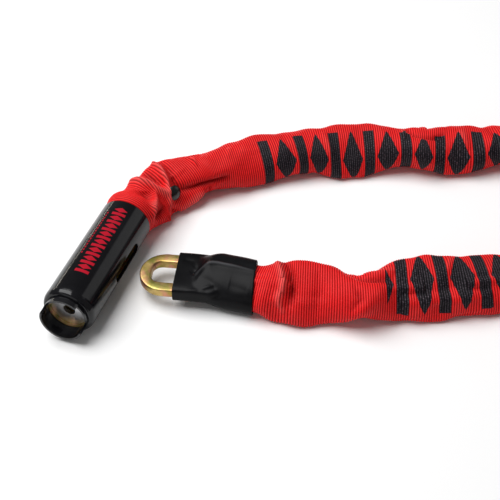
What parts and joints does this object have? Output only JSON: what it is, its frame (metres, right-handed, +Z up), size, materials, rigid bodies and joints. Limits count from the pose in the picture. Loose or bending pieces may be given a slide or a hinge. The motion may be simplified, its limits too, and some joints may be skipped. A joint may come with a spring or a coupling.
{
  "type": "chain lock",
  "caption": "Integrated chain lock: black key barrel with a side slot, a chain in a red woven sleeve, and a yellow end link in a rubber boot.",
  "frame": {"origin": "centre of the whole lock's outline, on the surface that it lies on", "axes": "+Z up; the barrel lies along Y with its mouth and key hole facing -Y and its link slot facing +X; the chain loop runs towards +X"},
  "size_m": [0.2834, 0.2391, 0.028],
  "materials": {
    "gloss_black": "gloss black enamel",
    "yellow_steel": "steel with a yellow chromate finish",
    "plain_steel": "ground steel",
    "chain_steel": "hardened steel, dull grey",
    "disc_brass": "stamped brass",
    "collar_plastic": "moulded black plastic, satin",
    "red_nylon": "ribbed woven nylon, red",
    "black_rubber": "shrunk-on rubber, satin",
    "black_rivet": "black painted steel"
  },
  "bodies": {
    "barrel": {"barrel_shell": "gloss_black", "lock_core": "yellow_steel", "front_collar": "collar_plastic", "cylinder_housing": "plain_steel", "face_ring": "yellow_steel", "cylinder_pin": "plain_steel", "anchor_pin": "plain_steel", "detent_ball": "plain_steel", "detent_spring": "plain_steel"},
    "key_plug": {"disc_carrier": "plain_steel", "detainer_discs": "disc_brass", "disc_spacers": "plain_steel", "sidebar": "plain_steel"},
    "rotor": {"rotor_bolt": "yellow_steel"},
    "link_00": {"chain_link_00": "chain_steel", "sleeve_00": "red_nylon"},
    "link_01": {"chain_link_01": "chain_steel", "sleeve_01": "red_nylon", "sleeve_rivet": "black_rivet", "rivet_washer": "plain_steel"},
    "link_02": {"chain_link_02": "chain_steel", "sleeve_02": "red_nylon"},
    "link_03": {"chain_link_03": "chain_steel", "sleeve_03": "red_nylon"},
    "link_04": {"chain_link_04": "chain_steel", "sleeve_04": "red_nylon"},
    "link_05": {"chain_link_05": "chain_steel", "sleeve_05": "red_nylon"},
    "link_06": {"chain_link_06": "chain_steel", "sleeve_06": "red_nylon"},
    "link_07": {"chain_link_07": "chain_steel", "sleeve_07": "red_nylon"},
    "link_08": {"chain_link_08": "chain_steel", "sleeve_08": "red_nylon"},
    "link_09": {"chain_link_09": "chain_steel", "sleeve_09": "red_nylon"},
    "link_10": {"chain_link_10": "chain_steel", "sleeve_10": "red_nylon"},
    "link_11": {"chain_link_11": "chain_steel", "sleeve_11": "red_nylon"},
    "link_12": {"chain_link_12": "chain_steel", "sleeve_12": "red_nylon"},
    "link_13": {"chain_link_13": "chain_steel", "sleeve_13": "red_nylon"},
    "link_14": {"chain_link_14": "chain_steel", "sleeve_14": "red_nylon"},
    "link_15": {"chain_link_15": "chain_steel", "sleeve_15": "red_nylon"},
    "link_16": {"chain_link_16": "chain_steel", "sleeve_16": "red_nylon"},
    "end_piece": {"chain_link_17": "chain_steel", "sleeve_17": "red_nylon", "end_boot": "black_rubber", "end_link": "yellow_steel"}
  },
  "joints": [
    {"name": "key_turn", "type": "hinge", "parent": "barrel", "child": "key_plug", "pos_m": [-0.12773, -0.10958, 0.014], "axis": [0, 1, 0], "range_deg": [0, 90]},
    {"name": "rotor_turn", "type": "hinge", "parent": "barrel", "child": "rotor", "pos_m": [-0.12773, -0.06958, 0.014], "axis": [0, 1, 0], "range_deg": [0, 90]},
    {"name": "chain_hinge_00", "type": "hinge", "parent": "barrel", "child": "link_00", "pos_m": [-0.12773, -0.04558, 0.01], "axis": [0, 0, 1], "range_deg": [-10, 10]},
    {"name": "chain_hinge_01", "type": "hinge", "parent": "link_00", "child": "link_01", "pos_m": [-0.12773, -0.01748, 0.01], "axis": [0, 0, -1], "range_deg": [-66, 6]},
    {"name": "chain_hinge_02", "type": "hinge", "parent": "link_01", "child": "link_02", "pos_m": [-0.10823, 0.0163, 0.01], "axis": [0, 0, 1], "range_deg": [-4, 60]},
    {"name": "chain_hinge_03", "type": "hinge", "parent": "link_02", "child": "link_03", "pos_m": [-0.0855, 0.03281, 0.01], "axis": [0, 0, -1], "range_deg": [-36, 3]},
    {"name": "chain_hinge_04", "type": "hinge", "parent": "link_03", "child": "link_04", "pos_m": [-0.05395, 0.05574, 0.01], "axis": [0, 0, 1], "range_deg": [-2, 46]},
    {"name": "chain_hinge_05", "type": "hinge", "parent": "link_04", "child": "link_05", "pos_m": [-0.02869, 0.06806, 0.01], "axis": [0, 0, -1], "range_deg": [-40, 2]},
    {"name": "chain_hinge_06", "type": "hinge", "parent": "link_05", "child": "link_06", "pos_m": [0.00747, 0.08267, 0.01], "axis": [0, 0, 1], "range_deg": [-2, 42]},
    {"name": "chain_hinge_07", "type": "hinge", "parent": "link_06", "child": "link_07", "pos_m": [0.03448, 0.09041, 0.01], "axis": [0, 0, -1], "range_deg": [-26, 2]},
    {"name": "chain_hinge_08", "type": "hinge", "parent": "link_07", "child": "link_08", "pos_m": [0.06953, 0.10751, 0.01], "axis": [0, 0, 1], "range_deg": [0, 72]},
    {"name": "chain_hinge_09", "type": "hinge", "parent": "link_08", "child": "link_09", "pos_m": [0.09721, 0.10263, 0.01], "axis": [0, 0, -1], "range_deg": [-71, 1]},
    {"name": "chain_hinge_10", "type": "hinge", "parent": "link_09", "child": "link_10", "pos_m": [0.12478, 0.07505, 0.01], "axis": [0, 0, 1], "range_deg": [-1, 71]},
    {"name": "chain_hinge_11", "type": "hinge", "parent": "link_10", "child": "link_11", "pos_m": [0.12966, 0.04738, 0.01], "axis": [0, 0, -1], "range_deg": [-71, 1]},
    {"name": "chain_hinge_12", "type": "hinge", "parent": "link_11", "child": "link_12", "pos_m": [0.11318, 0.01203, 0.01], "axis": [0, 0, 1], "range_deg": [-4, 61]},
    {"name": "chain_hinge_13", "type": "hinge", "parent": "link_12", "child": "link_13", "pos_m": [0.09166, -0.00603, 0.01], "axis": [0, 0, -1], "range_deg": [-44, 6]},
    {"name": "chain_hinge_14", "type": "hinge", "parent": "link_13", "child": "link_14", "pos_m": [0.05858, -0.0267, 0.01], "axis": [0, 0, 1], "range_deg": [-10, 42]},
    {"name": "chain_hinge_15", "type": "hinge", "parent": "link_14", "child": "link_15", "pos_m": [0.03333, -0.03902, 0.01], "axis": [0, 0, -1], "range_deg": [-42, 15]},
    {"name": "chain_hinge_16", "type": "hinge", "parent": "link_15", "child": "link_16", "pos_m": [-0.00332, -0.05235, 0.01], "axis": [0, 0, 1], "range_deg": [-30, 40]},
    {"name": "chain_hinge_17", "type": "hinge", "parent": "link_16", "child": "end_piece", "pos_m": [-0.03033, -0.0601, 0.01], "axis": [0, 0, -1], "range_deg": [-49, 23]}
  ],
  "couplings": [
    {"joint": "rotor_turn", "follows": "key_turn", "ratio": 1}
  ]
}
